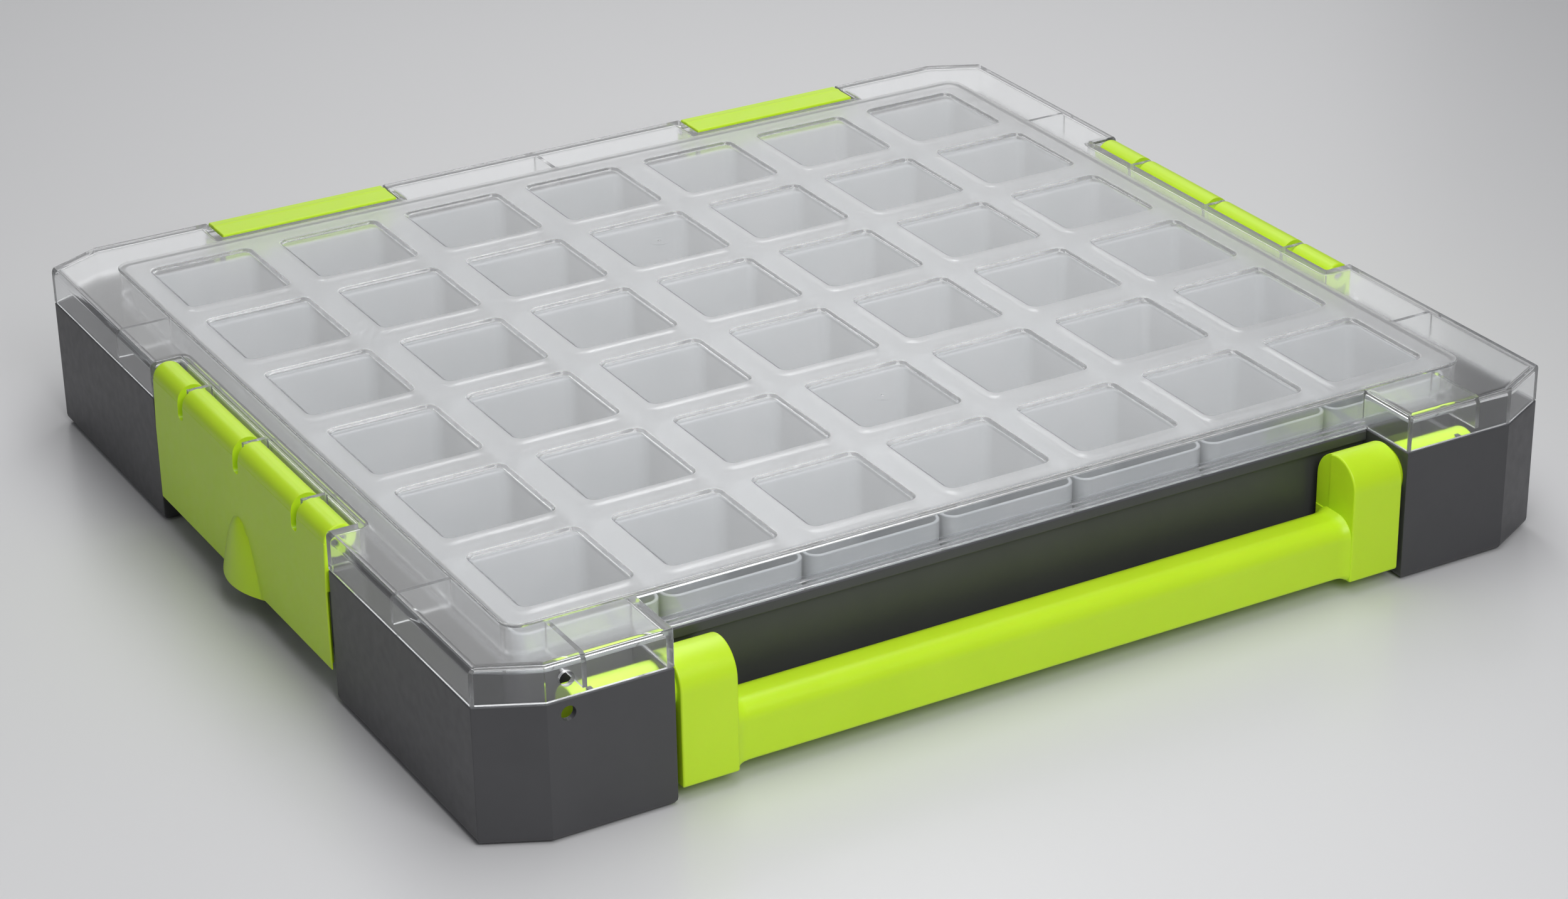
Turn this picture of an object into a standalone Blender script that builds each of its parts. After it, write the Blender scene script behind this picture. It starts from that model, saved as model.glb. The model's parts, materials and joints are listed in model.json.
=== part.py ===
"""Fishing tackle box: a shallow case with a clear hinged lid over a grid of loose cups.

Run with: blender --background --python part.py
Units are metres, +Z is up, -Y is the front (the handle side), and the origin is the
centre of the box's footprint, on the surface that it stands on.
"""
import math

import bmesh
import bpy
from mathutils import Matrix, Vector

# ---------------------------------------------------------------- driving dimensions
WIDTH = 0.400                 # across the box, along X
DEPTH = 0.367                 # front to rear, along Y
HEIGHT = 0.0616               # floor to the top of the lid
RIM = 0.0475                  # top edge of the tray's outer walls
PARTING = 0.0478              # lower edge of the lid's skirt
TOUCH = 0.0003                # gap kept between pieces that touch
OVERLAP = 0.001               # how far joined shapes run into each other
BEYOND = 0.010                # how far a cutter runs past what it cuts

BODY_WALL = 0.0022
BODY_FLOOR = 0.0024
LID_WALL = 0.0020
FOOT_ROUNDING = 0.003         # rounding of the tray's lower edge
LID_EDGE = 0.0012             # small chamfer around the lid's top
LID_FRONT_SETBACK = 0.0005    # the lid's front recess is this much deeper than the tray's
LID_SIDE_STEP = 0.0006        # the lid's side recesses are this much shallower than the tray's

CORNER_X = 0.020              # corner chamfers, along X
CORNER_Y = 0.010              # corner chamfers, along Y
BLOCK_X = 0.1374              # where the front corner blocks start
HANDLE_BAY = 0.0240           # how far the front wall is set back behind the handle
LATCH_BAY = (0.112, 0.260)    # the side recesses, measured from the front
LATCH_BAY_DEPTH = 0.012

WELL_X = 0.180                # outside of the inner wall that rings the cups
WELL_Y = (0.0246, 0.347)
WELL_WALL = 0.0024
WELL_TOP = 0.046
CAP_RING_LOW = 0.050          # lower edge of the ring under the lid

# lips along the front recess, on the tray and under the lid
LIP_FRONT = 0.0214
TRAY_LIP_REAR = 0.0250
TRAY_LIP_LOW = 0.0437
LID_LIP_REAR = 0.0255
LID_LIP_TOP = 0.0494

# ribs under the lid
RIB_HALF = 0.0008             # half the thickness of a rib
SIDE_RIBS_Y = (0.0647, 0.2937)
REAR_RIB_Y = (0.3465, 0.3660)
BLOCK_RIB_X = 0.1668
BLOCK_RIB_LOW = 0.0490
BLOCK_INSIDE_Y = (0.0010, 0.0255)     # from the block's front wall to the wall around the cups

# cups: seven across and six deep
COLUMNS = 7
ROWS = 6
PITCH_X = 0.05029
PITCH_Y = 0.05237
GRID_FRONT = 0.0275
CUP_PLAY = 0.00085
CUP_LOW = 0.0027
CUP_TOP = 0.0550
CUP_WALL = 0.0013
CUP_DRAFT = 0.0012
CUP_CORNER = 0.0045

# lid windows: shallow sunk panes, one above each cup
PANE_X = 0.03846
PANE_Y = 0.03958
PANE_DEPTH = 0.0008
PANE_FIRST_X = -0.17055
PANE_FIRST_Y = 0.0339

# handle
HANDLE_PIVOT = (0.0103, 0.0375)   # from the front, above the floor
HANDLE_RADIUS = 0.0103
LEG_X = (0.1160, 0.1357)
LEG_LOW = 0.0050
GRIP_Y = (0.0018, 0.0184)
GRIP_Z = (0.0065, 0.0264)
GRIP_ROUNDING = 0.006
AXLE_RADIUS = 0.0080
AXLE_END = 0.1690
AXLE_PLAY = 0.00045
CRADLE_X = (0.1620, 0.1640)
CRADLE_TOP = 0.0455

# side latches
LATCH_Y = (0.1132, 0.2578)
LATCH_FACE = 0.2003
LATCH_SKIN = 0.0022
LATCH_LOW = 0.0110
ROLL_RADIUS = 0.0054
ROLL_X = 0.1948
ROLL_Z = 0.0560
SLOT_CENTRE = 0.185
SLOT_PITCH = 0.048
SLOT_WIDTH = 0.0034
SLOT_LOW = 0.0516
EAR_HALF = 0.0010             # half the thickness of the lid's ears, which run in the slots
EAR_X = (0.1876, 0.1972)
EAR_Z = (0.0532, 0.0612)
LIP_FACE = 0.2009             # the latch's front lip stands just outside the tray's side
LIP_WIDTH = 0.0042
LIP_TOP = 0.0400
CATCH_X = (0.1910, 0.1985)
CATCH_Y = (0.128, 0.243)
CATCH_Z = (0.0360, 0.0395)
LEDGE_X = 0.1905
LEDGE_Z = (0.0405, 0.0440)
TAB_TOP = 0.0355
TAB_HALF_WIDTH = 0.018
TAB_REACH = 0.0062
TAB_SKIN = 0.0022
TAB_ROOT = 0.0008             # how deep the tab's axis lies under the latch's face
TAB_TIP_RADIUS = 0.0006
PIN_INSET = 0.0005            # how far the latch pins' ends lie inside the latch's ends

# pins
PIN_RADIUS = 0.00145
BORE_RADIUS = 0.00190

# rear hinges
HINGE_PIVOT = (0.3625, 0.0570)    # from the front, above the floor
HINGE_X = (0.0649, 0.1351)
HINGE_PLAY = 0.0006
HINGE_REACH = (0.060, 0.140)      # the bores in the lid reach past the cut-outs on both sides
HINGE_PIN_OVERHANG = 0.0024
CUTOUT_PLAY = 0.0007
BARREL_RADIUS = 0.0043
CLIP_FRONT = 0.3524
CLIP_CUTOUT = 0.3510
CLIP_PLATE = 0.0018
CLIP_LOW = 0.0200
CLIP_SKIN = 0.0022
CLIP_HOOK = (0.3590, 0.3612)
CLIP_HOOK_LOW = 0.0380
CLIP_BRIDGE = (0.0482, 0.0504)
SKIRT_RELIEF = (0.3612, 0.0492)   # rear skirt: behind this depth it starts at this height
BAY_RELIEF_X = (0.1855, 0.1975)   # the lid's lower edge rises over the latch bays, within this width
BAY_RELIEF_Y = (0.1090, 0.2630)   # and this depth,
BAY_RELIEF_Z = 0.0492             # to this height

# padlock holes, front left corner
PADLOCK_X = -0.173
PADLOCK_RADIUS = 0.0025
PADLOCK_BODY_Z = 0.0427
PADLOCK_LID_Z = 0.0542
PADLOCK_SPAN = (-0.004, 0.005)

SIDES = (("left", -1), ("right", 1))


# ---------------------------------------------------------------- scene and materials
def clear_scene():
    for item in list(bpy.data.objects):
        bpy.data.objects.remove(item, do_unlink=True)


def new_collection(name):
    group = bpy.data.collections.new(name)
    bpy.context.scene.collection.children.link(group)
    return group


def plastic(name, colour, roughness, transmission=0.0, metallic=0.0):
    material = bpy.data.materials.new(name)
    material.use_nodes = True
    shader = material.node_tree.nodes["Principled BSDF"]
    shader.inputs["Base Color"].default_value = (*colour, 1.0)
    shader.inputs["Roughness"].default_value = roughness
    shader.inputs["Metallic"].default_value = metallic
    shader.inputs["Transmission Weight"].default_value = transmission
    return material


clear_scene()
PARTS = new_collection("tackle_box")
TOOLS = new_collection("cutters")

GREY = plastic("grey_plastic", (0.055, 0.055, 0.060), 0.45)
LIME = plastic("lime_plastic", (0.48, 0.70, 0.045), 0.35)
CLEAR = plastic("clear_plastic", (0.93, 0.95, 0.96), 0.06, transmission=1.0)
MILKY = plastic("milky_plastic", (0.86, 0.88, 0.90), 0.25, transmission=0.7)
STEEL = plastic("pin_steel", (0.62, 0.62, 0.63), 0.30, metallic=1.0)


# ---------------------------------------------------------------- building blocks
def from_front(distance):
    """World Y of a distance measured back from the front face."""
    return distance - DEPTH / 2


def add_object(name, mesh, group):
    item = bpy.data.objects.new(name, mesh)
    group.objects.link(item)
    if group is TOOLS:
        item.hide_render = True
        item.display_type = "WIRE"
    return item


def finish_mesh(name, shape, group):
    bmesh.ops.recalc_face_normals(shape, faces=shape.faces)
    mesh = bpy.data.meshes.new(name)
    shape.to_mesh(mesh)
    shape.free()
    return add_object(name, mesh, group)


def add_box(shape, x, y, z):
    """Add a box between two limits on each axis; y is measured from the front."""
    made = bmesh.ops.create_cube(shape, size=1.0)
    low = Vector((min(x), from_front(min(y)), min(z)))
    high = Vector((max(x), from_front(max(y)), max(z)))
    size = Matrix.Diagonal((*(high - low), 1.0))
    place = Matrix.Translation((low + high) / 2)
    bmesh.ops.transform(shape, matrix=place @ size, verts=made["verts"])


def add_rod(shape, radius, axis, centre, span, sides):
    """Add a cylinder along X or Y; centre holds its two other coordinates, in X, Y, Z order."""
    length = max(span) - min(span)
    middle = (max(span) + min(span)) / 2
    made = bmesh.ops.create_cone(shape, cap_ends=True, segments=sides, radius1=radius,
                                 radius2=radius, depth=length)
    if axis == "X":
        place = Vector((middle, from_front(centre[0]), centre[1]))
        turn = Matrix.Rotation(math.radians(90), 4, "Y")
    else:
        place = Vector((centre[0], from_front(middle), centre[1]))
        turn = Matrix.Rotation(math.radians(90), 4, "X")
    bmesh.ops.transform(shape, matrix=Matrix.Translation(place) @ turn, verts=made["verts"])


def box(name, x, y, z, group=TOOLS):
    return boxes(name, [(x, y, z)], group)


def boxes(name, limits, group=TOOLS):
    """One tool made of boxes that stand clear of each other."""
    shape = bmesh.new()
    for x, y, z in limits:
        add_box(shape, x, y, z)
    return finish_mesh(name, shape, group)


def rod(name, radius, axis, centre, span, sides=24, group=TOOLS):
    return rods(name, radius, axis, [(centre, span)], sides, group)


def rods(name, radius, axis, places, sides=24, group=TOOLS):
    """One tool made of equal, parallel cylinders that stand clear of each other."""
    shape = bmesh.new()
    for centre, span in places:
        add_rod(shape, radius, axis, centre, span, sides)
    return finish_mesh(name, shape, group)


def plate(name, outline, low, high, group=TOOLS):
    """A flat plate with vertical walls, standing on a closed outline."""
    shape = bmesh.new()
    corners = [shape.verts.new((x, from_front(y), low)) for x, y in outline]
    shape.faces.new(corners)
    raised = bmesh.ops.extrude_face_region(shape, geom=shape.faces[:])
    moved = [part for part in raised["geom"] if isinstance(part, bmesh.types.BMVert)]
    bmesh.ops.translate(shape, verts=moved, vec=(0.0, 0.0, high - low))
    return finish_mesh(name, shape, group)


def round_rim(item, height, width, segments):
    """Bevel the edges that run around a plate at one height."""
    shape = bmesh.new()
    shape.from_mesh(item.data)
    rim = []
    for edge in shape.edges:
        level = all(abs(vertex.co.z - height) < 0.00001 for vertex in edge.verts)
        if level and edge.calc_face_angle(0.0) > 1.0:
            rim.append(edge)
    bmesh.ops.bevel(shape, geom=rim, offset=width, offset_type="OFFSET", segments=segments,
                    profile=0.5, affect="EDGES")
    shape.to_mesh(item.data)
    shape.free()


def combine(target, tool, operation):
    modifier = target.modifiers.new(tool.name, "BOOLEAN")
    modifier.operation = operation
    modifier.solver = "EXACT"
    modifier.object = tool


def cut(target, *tools):
    for tool in tools:
        combine(target, tool, "DIFFERENCE")


def join(target, *tools):
    for tool in tools:
        combine(target, tool, "UNION")


def put_origin_on(item, y, z, x=0.0):
    """Move the object's origin to a point on its joint axis, leaving its shape in place."""
    point = Vector((x, from_front(y), z))
    item.data.transform(Matrix.Translation(-point))
    item.location = point


def paint(item, material):
    item.data.materials.append(material)
    item.data.shade_smooth()
    item.data.set_sharp_from_angle(angle=math.radians(30))


# ---------------------------------------------------------------- footprints
def footprint(front_bay, latch_bay, rear=()):
    """Outline of the case; rear holds extra points of the right half's rear edge."""
    half = WIDTH / 2
    right = [
        (BLOCK_X, front_bay), (BLOCK_X, 0.0), (half - CORNER_X, 0.0), (half, CORNER_Y),
        (half, LATCH_BAY[0]), (half - latch_bay, LATCH_BAY[0]),
        (half - latch_bay, LATCH_BAY[1]), (half, LATCH_BAY[1]),
        (half, DEPTH - CORNER_Y), (half - CORNER_X, DEPTH), *rear,
    ]
    left = [(-x, y) for x, y in reversed(right)]
    return right + left


def inset(outline, distance):
    """The outline moved inwards, with each corner kept sharp; outlines run anticlockwise."""
    moved = []
    count = len(outline)
    for index, corner in enumerate(outline):
        here = Vector(corner)
        before = (here - Vector(outline[index - 1])).normalized()
        after = (Vector(outline[(index + 1) % count]) - here).normalized()
        normal_before = Vector((-before.y, before.x))
        normal_after = Vector((-after.y, after.x))
        mitre = (normal_before + normal_after).normalized()
        moved.append(tuple(here + mitre * distance / mitre.dot(normal_after)))
    return moved


def well(grow):
    """The rectangle around the cups, grown or shrunk from the outside of the inner wall."""
    x = WELL_X + grow
    front, rear = WELL_Y[0] - grow, WELL_Y[1] + grow
    return [(-x, front), (x, front), (x, rear), (-x, rear)]


# ---------------------------------------------------------------- tray
def add_tray_details(tray):
    """Lips, ledges and cradles that stand on the tray's walls, and the holes through them."""
    lip_x = BLOCK_X - TOUCH
    added = [((-lip_x, lip_x), (LIP_FRONT, TRAY_LIP_REAR), (TRAY_LIP_LOW, RIM))]
    axle_holes = []
    clip_seats = []
    for side, sign in SIDES:
        bay_wall = WIDTH / 2 - LATCH_BAY_DEPTH
        added.append(((sign * (bay_wall - OVERLAP), sign * LEDGE_X), CATCH_Y, LEDGE_Z))
        cradle = (sign * CRADLE_X[0], sign * CRADLE_X[1])
        added.append((cradle, BLOCK_INSIDE_Y, (BODY_FLOOR - OVERLAP, CRADLE_TOP)))
        hole = (sign * (BLOCK_X - BODY_WALL), sign * (AXLE_END + OVERLAP))
        axle_holes.append((HANDLE_PIVOT, hole))
        seat_x = (sign * (HINGE_X[0] - HINGE_PLAY), sign * (HINGE_X[1] + HINGE_PLAY))
        seat_y = (DEPTH - CLIP_SKIN - HINGE_PLAY, DEPTH + BEYOND)
        clip_seats.append((seat_x, seat_y, (CLIP_LOW - HINGE_PLAY, RIM + BEYOND)))
    join(tray, boxes("tray_ribs", added))
    cut(tray, rods("axle_holes", AXLE_RADIUS + AXLE_PLAY, "X", axle_holes, 32))
    cut(tray, boxes("clip_seats", clip_seats))


def build_tray():
    outer = footprint(HANDLE_BAY, LATCH_BAY_DEPTH)
    inner, outer_end = HINGE_X[0] - HINGE_PLAY, HINGE_X[1] + HINGE_PLAY
    deeper = DEPTH - CLIP_SKIN - HINGE_PLAY
    notched = footprint(HANDLE_BAY, LATCH_BAY_DEPTH, [
        (outer_end, DEPTH), (outer_end, deeper), (inner, deeper), (inner, DEPTH)])
    tray = plate("body_tray", outer, 0.0, RIM, PARTS)
    round_rim(tray, 0.0, FOOT_ROUNDING, 3)
    cut(tray, plate("tray_hollow", inset(notched, BODY_WALL), BODY_FLOOR, RIM + BEYOND))
    wall = plate("well_wall", well(0.0), BODY_FLOOR / 2, WELL_TOP)
    cut(wall, plate("well", well(-WELL_WALL), 0.0, RIM + BEYOND))
    join(tray, wall)
    add_tray_details(tray)
    cut(tray, rod("padlock_hole_tray", PADLOCK_RADIUS, "Y", (PADLOCK_X, PADLOCK_BODY_Z),
                  PADLOCK_SPAN, 20))
    paint(tray, GREY)
    return tray


# ---------------------------------------------------------------- lid
def panes():
    """Limits of the sunk panes, row by row."""
    limits = []
    for row in range(ROWS):
        for column in range(COLUMNS):
            x = PANE_FIRST_X + column * PITCH_X
            y = PANE_FIRST_Y + row * PITCH_Y
            depth = (HEIGHT - PANE_DEPTH, HEIGHT + OVERLAP)
            limits.append(((x, x + PANE_X), (y, y + PANE_Y), depth))
    return limits


def lid_ribs():
    """Stiffening ribs across the skirt, and the ears that carry the latch pins."""
    under = HEIGHT - LID_WALL / 2
    limits = [((-RIB_HALF, RIB_HALF), REAR_RIB_Y, (CAP_RING_LOW, under))]
    for side, sign in SIDES:
        for y in SIDE_RIBS_Y:
            across = (sign * (WELL_X - OVERLAP), sign * (WIDTH / 2 - OVERLAP))
            limits.append((across, (y - RIB_HALF, y + RIB_HALF), (CAP_RING_LOW, under)))
        block_rib = (sign * (BLOCK_RIB_X - RIB_HALF), sign * (BLOCK_RIB_X + RIB_HALF))
        limits.append((block_rib, BLOCK_INSIDE_Y, (BLOCK_RIB_LOW, under)))
        for index in (-1, 0, 1):
            y = SLOT_CENTRE + index * SLOT_PITCH
            ear = (sign * EAR_X[0], sign * EAR_X[1])
            limits.append((ear, (y - EAR_HALF, y + EAR_HALF), EAR_Z))
    return limits


def build_lid():
    inner, outer = HINGE_X[0] - CUTOUT_PLAY, HINGE_X[1] + CUTOUT_PLAY
    bay = HANDLE_BAY + LID_FRONT_SETBACK
    latch_bay = LATCH_BAY_DEPTH - LID_SIDE_STEP
    outline = footprint(bay, latch_bay, [
        (outer, DEPTH), (outer, CLIP_CUTOUT), (inner, CLIP_CUTOUT), (inner, DEPTH)])
    lid = plate("lid", outline, PARTING, HEIGHT, PARTS)
    round_rim(lid, HEIGHT, LID_EDGE, 1)
    cut(lid, plate("lid_hollow", inset(outline, LID_WALL), PARTING - BEYOND, HEIGHT - LID_WALL))
    ring = plate("cap_ring", well(-TOUCH), CAP_RING_LOW, HEIGHT - LID_WALL / 2)
    cut(ring, plate("cap_ring_hollow", well(-TOUCH - LID_WALL), PARTING - BEYOND, HEIGHT + BEYOND))
    join(lid, ring)
    lip_x = BLOCK_X + OVERLAP
    join(lid, box("lid_bay_lip", (-lip_x, lip_x), (LIP_FRONT, LID_LIP_REAR), (PARTING, LID_LIP_TOP)))
    join(lid, boxes("lid_ribs", lid_ribs()))
    pins = [((sign * ROLL_X, ROLL_Z), LATCH_BAY) for side, sign in SIDES]
    cut(lid, rods("latch_bores_lid", BORE_RADIUS, "Y", pins, 16))
    pins = [(HINGE_PIVOT, (sign * HINGE_REACH[0], sign * HINGE_REACH[1])) for side, sign in SIDES]
    cut(lid, rods("hinge_bores_lid", BORE_RADIUS, "X", pins, 16))
    relief_y, relief_z = SKIRT_RELIEF
    cut(lid, box("rear_relief", (-WIDTH, WIDTH), (relief_y, DEPTH + BEYOND), (0.0, relief_z)))
    for side, sign in SIDES:
        span = (sign * BAY_RELIEF_X[0], sign * BAY_RELIEF_X[1])
        cut(lid, box("bay_relief_" + side, span, BAY_RELIEF_Y, (0.0, BAY_RELIEF_Z)))
    cut(lid, boxes("panes", panes()))
    cut(lid, rod("padlock_hole_lid", PADLOCK_RADIUS, "Y", (PADLOCK_X, PADLOCK_LID_Z),
                 PADLOCK_SPAN, 20))
    paint(lid, CLEAR)
    put_origin_on(lid, *HINGE_PIVOT)
    return lid


# ---------------------------------------------------------------- handle
def build_handle():
    y, z = HANDLE_PIVOT
    reach = LEG_X[0] + OVERLAP
    grip = box("handle", (-reach, reach), GRIP_Y, GRIP_Z, PARTS)
    shape = bmesh.new()
    shape.from_mesh(grip.data)
    long_edges = [e for e in shape.edges if abs(e.verts[0].co.x - e.verts[1].co.x) > reach]
    upper = [e for e in long_edges if e.verts[0].co.z > sum(GRIP_Z) / 2]
    bmesh.ops.bevel(shape, geom=upper, offset=GRIP_ROUNDING, offset_type="OFFSET", segments=4,
                    profile=0.5, affect="EDGES")
    shape.to_mesh(grip.data)
    shape.free()
    for side, sign in SIDES:
        span = (sign * LEG_X[0], sign * LEG_X[1])
        depth = (y - HANDLE_RADIUS, y + HANDLE_RADIUS)
        join(grip, box("leg_" + side, span, depth, (LEG_LOW, z)))
        join(grip, rod("leg_top_" + side, HANDLE_RADIUS, "X", HANDLE_PIVOT, span, 32))
        axle = (sign * (LEG_X[1] - OVERLAP), sign * AXLE_END)
        join(grip, rod("axle_" + side, AXLE_RADIUS, "X", HANDLE_PIVOT, axle, 24))
    put_origin_on(grip, y, z)
    paint(grip, LIME)
    return grip


# ---------------------------------------------------------------- latches
def finger_tab(name, sign, half_width, reach, top, low):
    """A flattened cone that flares out from the latch's face towards its lower edge."""
    shape = bmesh.new()
    height = top - low
    bmesh.ops.create_cone(shape, cap_ends=True, segments=24, radius1=half_width,
                          radius2=TAB_TIP_RADIUS, depth=height)
    flatten = Matrix.Diagonal((reach / half_width, 1.0, 1.0, 1.0))
    place = Vector((sign * (LATCH_FACE - TAB_ROOT), from_front(SLOT_CENTRE), low + height / 2))
    bmesh.ops.transform(shape, matrix=Matrix.Translation(place) @ flatten, verts=shape.verts)
    return finish_mesh(name, shape, TOOLS)


def build_latch(side, sign):
    name = "latch_" + side
    face = (sign * (LATCH_FACE - LATCH_SKIN), sign * LATCH_FACE)
    latch = rod(name, ROLL_RADIUS, "Y", (sign * ROLL_X, ROLL_Z), LATCH_Y, 24, PARTS)
    join(latch, box(name + "_skin", face, LATCH_Y, (LATCH_LOW, ROLL_Z)))
    front = LATCH_Y[0]
    lip = (sign * (LATCH_FACE - OVERLAP), sign * LIP_FACE)
    join(latch, box(name + "_lip", lip, (front, front + 2 * LIP_WIDTH), (LATCH_LOW, LIP_TOP)))
    rebate = (sign * CATCH_X[0], sign * (WIDTH / 2 + TOUCH))
    rebate_y = (front - OVERLAP, front + LIP_WIDTH)
    cut(latch, box(name + "_rebate", rebate, rebate_y, (0.0, LIP_TOP - OVERLAP)))
    catch = (sign * CATCH_X[0], sign * CATCH_X[1])
    join(latch, box(name + "_catch", catch, CATCH_Y, CATCH_Z))
    tab = finger_tab(name + "_tab", sign, TAB_HALF_WIDTH, TAB_REACH, TAB_TOP, LATCH_LOW)
    behind = (sign * CATCH_X[0], sign * (LATCH_FACE - LATCH_SKIN / 2))
    cut(tab, box(name + "_tab_back", behind, CATCH_Y, (0.0, TAB_TOP + BEYOND)))
    join(latch, tab)
    cut(latch, finger_tab(name + "_scoop", sign, TAB_HALF_WIDTH - TAB_SKIN, TAB_REACH - TAB_SKIN,
                          TAB_TOP - 2 * TAB_SKIN, LATCH_LOW - TOUCH))
    slots = []
    for index in (-1, 0, 1):
        y = SLOT_CENTRE + index * SLOT_PITCH
        width = (y - SLOT_WIDTH / 2, y + SLOT_WIDTH / 2)
        across = (sign * (EAR_X[0] + TOUCH), sign * (LATCH_FACE + OVERLAP))
        slots.append((across, width, (SLOT_LOW, HEIGHT + BEYOND)))
    cut(latch, boxes(name + "_slots", slots))
    cut(latch, rod(name + "_bore", BORE_RADIUS, "Y", (sign * ROLL_X, ROLL_Z), LATCH_BAY, 16))
    put_origin_on(latch, sum(LATCH_Y) / 2, ROLL_Z, sign * ROLL_X)
    paint(latch, LIME)
    pin = rod("latch_pin_" + side, PIN_RADIUS, "Y", (sign * ROLL_X, ROLL_Z),
              (LATCH_Y[0] + PIN_INSET, LATCH_Y[1] - PIN_INSET), 12, PARTS)
    paint(pin, STEEL)
    return latch


# ---------------------------------------------------------------- rear hinges
def build_hinge(side, sign):
    """A clip that straddles the tray's rear wall and carries the barrel of the lid's hinge."""
    name = "hinge_clip_" + side
    span = (sign * HINGE_X[0], sign * HINGE_X[1])
    clip = box(name, span, (DEPTH - CLIP_SKIN, DEPTH), (CLIP_LOW, HEIGHT), PARTS)
    join(clip, box(name + "_top", span, (CLIP_FRONT, DEPTH), (HEIGHT - CLIP_PLATE, HEIGHT)))
    join(clip, rod(name + "_barrel", BARREL_RADIUS, "X", HINGE_PIVOT, span, 24))
    join(clip, box(name + "_bridge", span, (CLIP_HOOK[0], DEPTH), CLIP_BRIDGE))
    join(clip, box(name + "_hook", span, CLIP_HOOK, (CLIP_HOOK_LOW, CLIP_BRIDGE[1])))
    reach = (sign * (HINGE_X[0] - OVERLAP), sign * (HINGE_X[1] + OVERLAP))
    cut(clip, rod(name + "_bore", BORE_RADIUS, "X", HINGE_PIVOT, reach, 16))
    paint(clip, LIME)
    ends = (sign * (HINGE_X[0] - HINGE_PIN_OVERHANG), sign * (HINGE_X[1] + HINGE_PIN_OVERHANG))
    pin = rod("hinge_pin_" + side, PIN_RADIUS, "X", HINGE_PIVOT, ends, 12, PARTS)
    paint(pin, STEEL)
    return clip


# ---------------------------------------------------------------- cups
def cup_shell():
    """One cup as an open, slightly tapered surface standing on its own origin."""
    shape = bmesh.new()
    bmesh.ops.create_cube(shape, size=1.0)
    size_x, size_y = PITCH_X - CUP_PLAY, PITCH_Y - CUP_PLAY
    height = CUP_TOP - CUP_LOW
    for vertex in shape.verts:
        taper = 0.0 if vertex.co.z > 0 else 2 * CUP_DRAFT
        vertex.co.x *= size_x - taper
        vertex.co.y *= size_y - taper
        vertex.co.z = (vertex.co.z + 0.5) * height
    upright = [e for e in shape.edges if abs(e.verts[0].co.z - e.verts[1].co.z) > height / 2]
    bmesh.ops.bevel(shape, geom=upright, offset=CUP_CORNER, offset_type="OFFSET", segments=1,
                    profile=0.5, affect="EDGES")
    bmesh.ops.recalc_face_normals(shape, faces=shape.faces)
    lids = [face for face in shape.faces if face.normal.z > 0.9]
    bmesh.ops.delete(shape, geom=lids, context="FACES")
    mesh = bpy.data.meshes.new("cup")
    shape.to_mesh(mesh)
    shape.free()
    return mesh


def build_cups():
    mesh = cup_shell()
    mesh.materials.append(MILKY)
    for row in range(ROWS):
        for column in range(COLUMNS):
            cup = add_object("cup_r%d_c%d" % (row + 1, column + 1), mesh, PARTS)
            x = (column - (COLUMNS - 1) / 2) * PITCH_X
            y = GRID_FRONT + (row + 0.5) * PITCH_Y
            cup.location = (x, from_front(y), CUP_LOW)
            skin = cup.modifiers.new("wall", "SOLIDIFY")
            skin.thickness = CUP_WALL
            skin.offset = -1.0
            skin.use_even_offset = True


build_tray()
build_lid()
build_handle()
for SIDE, SIGN in SIDES:
    build_latch(SIDE, SIGN)
    build_hinge(SIDE, SIGN)
build_cups()
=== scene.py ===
"""Looks of the fishing tackle box: finished shells, cups, plastics, studio floor, lights and camera.

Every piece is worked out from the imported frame, in metres, and rides on one of its bodies.
Distances called "from the front" run back from the front face, along +Y.
"""
import json
import math

import bmesh
import bpy
from mathutils import Matrix, Vector


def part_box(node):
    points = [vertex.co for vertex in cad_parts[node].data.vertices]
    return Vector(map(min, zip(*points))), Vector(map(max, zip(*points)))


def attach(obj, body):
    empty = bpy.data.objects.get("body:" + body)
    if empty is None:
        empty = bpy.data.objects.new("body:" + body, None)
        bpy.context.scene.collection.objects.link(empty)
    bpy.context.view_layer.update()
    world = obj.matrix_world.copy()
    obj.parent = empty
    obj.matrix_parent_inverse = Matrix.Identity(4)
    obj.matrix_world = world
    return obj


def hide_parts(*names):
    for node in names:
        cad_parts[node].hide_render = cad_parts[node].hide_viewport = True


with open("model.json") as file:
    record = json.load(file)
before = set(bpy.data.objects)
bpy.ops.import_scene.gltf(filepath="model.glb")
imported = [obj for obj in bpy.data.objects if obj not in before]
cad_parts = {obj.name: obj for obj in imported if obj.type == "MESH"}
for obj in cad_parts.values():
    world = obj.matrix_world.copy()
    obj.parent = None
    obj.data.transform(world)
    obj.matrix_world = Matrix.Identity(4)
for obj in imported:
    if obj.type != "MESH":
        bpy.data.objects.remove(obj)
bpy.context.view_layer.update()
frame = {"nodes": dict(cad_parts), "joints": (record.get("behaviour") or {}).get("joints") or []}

RECORD_JOINTS = {joint["name"]: Vector(joint["pos_m"]) for joint in frame["joints"]}
SIDES = (("left", -1), ("right", 1))

# ---------------------------------------------------------------- sizes read from the frame
TRAY_LOW, TRAY_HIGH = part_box("body_tray")
LID_LOW, LID_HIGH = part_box("lid")
HANDLE_LOW, HANDLE_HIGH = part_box("handle")
LATCH_LOW, LATCH_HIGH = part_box("latch_right")
CLIP_LOW, CLIP_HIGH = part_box("hinge_clip_right")

HALF = TRAY_HIGH.x                   # half the width of the case
FRONT = TRAY_LOW.y
DEPTH = TRAY_HIGH.y - TRAY_LOW.y
RIM = TRAY_HIGH.z                    # top of the tray
PARTING = LID_LOW.z                  # bottom of the lid's skirt
TOP = LID_HIGH.z                     # top of the raised field over the cups
DECK = TOP - 0.0006                  # top of the flat border around that field

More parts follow.
